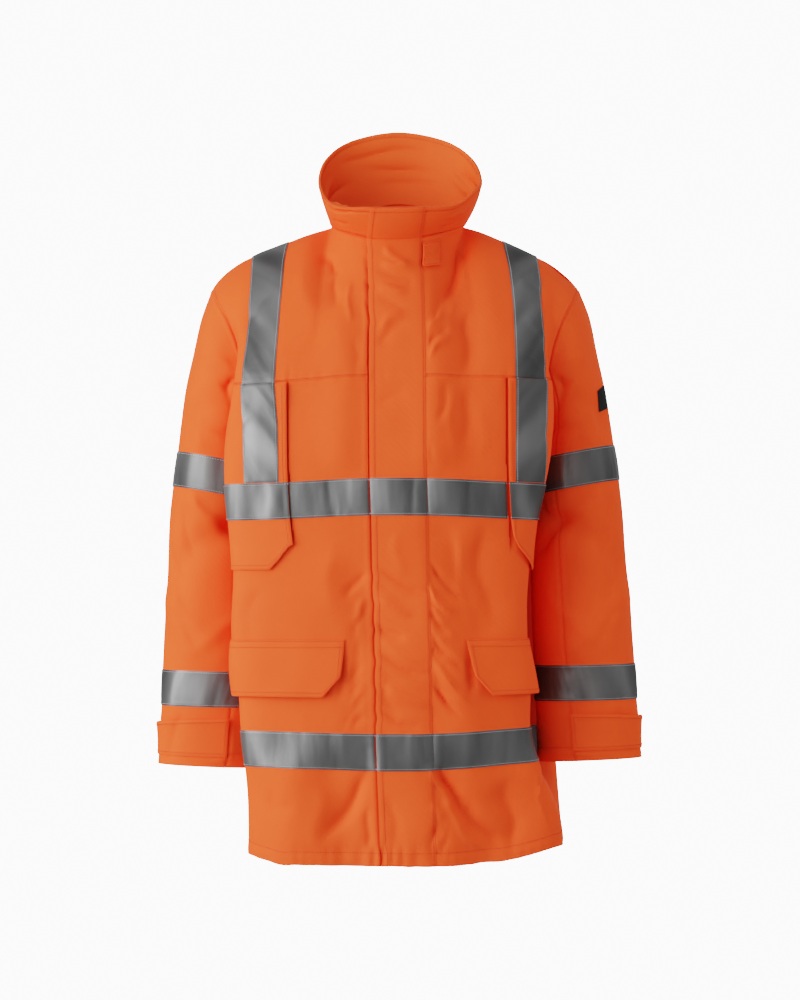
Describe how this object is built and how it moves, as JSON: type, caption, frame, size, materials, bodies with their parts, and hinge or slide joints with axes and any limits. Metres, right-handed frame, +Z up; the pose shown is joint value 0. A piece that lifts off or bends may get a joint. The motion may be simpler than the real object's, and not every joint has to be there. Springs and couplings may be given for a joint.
{
  "type": "hi-vis work jacket",
  "caption": "Hip-length orange work jacket, filled out as worn: stand collar, covered zip, long pocket flaps, silver reflective tapes round body, braces and sleeves.",
  "frame": {"origin": "middle of the neck opening at the height of the shoulder neck points, where the wearer's shoulders hold the jacket", "axes": "+Z up, the front faces -Y, the wearer's left is +X"},
  "size_m": [0.6846, 0.3024, 1.0352],
  "materials": {
    "hi_vis_cloth": "fluorescent orange-red twill, matt",
    "collar_facing": "the same twill on the collar's inside",
    "reflective_tape": "silver-grey glass-bead tape",
    "zip_tape": "black zip tape, hidden",
    "label": "bare black woven label"
  },
  "bodies": {
    "root": {"back": "hi_vis_cloth", "brace_tape_flap_left": "reflective_tape", "brace_tape_flap_right": "reflective_tape", "brace_tape_left": "reflective_tape", "brace_tape_right": "reflective_tape", "chest_flap_left": "hi_vis_cloth", "chest_flap_right": "hi_vis_cloth", "collar_facing": "collar_facing", "collar_outer": "hi_vis_cloth", "cuff_strap_left": "hi_vis_cloth", "cuff_strap_right": "hi_vis_cloth", "front_left": "hi_vis_cloth", "front_right": "hi_vis_cloth", "front_zip": "zip_tape", "hip_flap_left": "hi_vis_cloth", "hip_flap_right": "hi_vis_cloth", "lower_tape_back": "reflective_tape", "lower_tape_front_left": "reflective_tape", "lower_tape_front_right": "reflective_tape", "lower_tape_storm": "reflective_tape", "sleeve_label": "label", "sleeve_outer_left": "hi_vis_cloth", "sleeve_outer_right": "hi_vis_cloth", "sleeve_tape_lower_left": "reflective_tape", "sleeve_tape_lower_right": "reflective_tape", "sleeve_tape_upper_left": "reflective_tape", "sleeve_tape_upper_right": "reflective_tape", "sleeve_under_left": "hi_vis_cloth", "sleeve_under_right": "hi_vis_cloth", "storm_flap": "hi_vis_cloth", "throat_tab": "hi_vis_cloth", "waist_tape_back": "reflective_tape", "waist_tape_flap_left": "reflective_tape", "waist_tape_flap_right": "reflective_tape", "waist_tape_front_left": "reflective_tape", "waist_tape_front_right": "reflective_tape", "waist_tape_side_left": "reflective_tape", "waist_tape_side_right": "reflective_tape", "waist_tape_storm": "reflective_tape", "yoke_left": "hi_vis_cloth", "yoke_right": "hi_vis_cloth"}
  },
  "joints": []
}
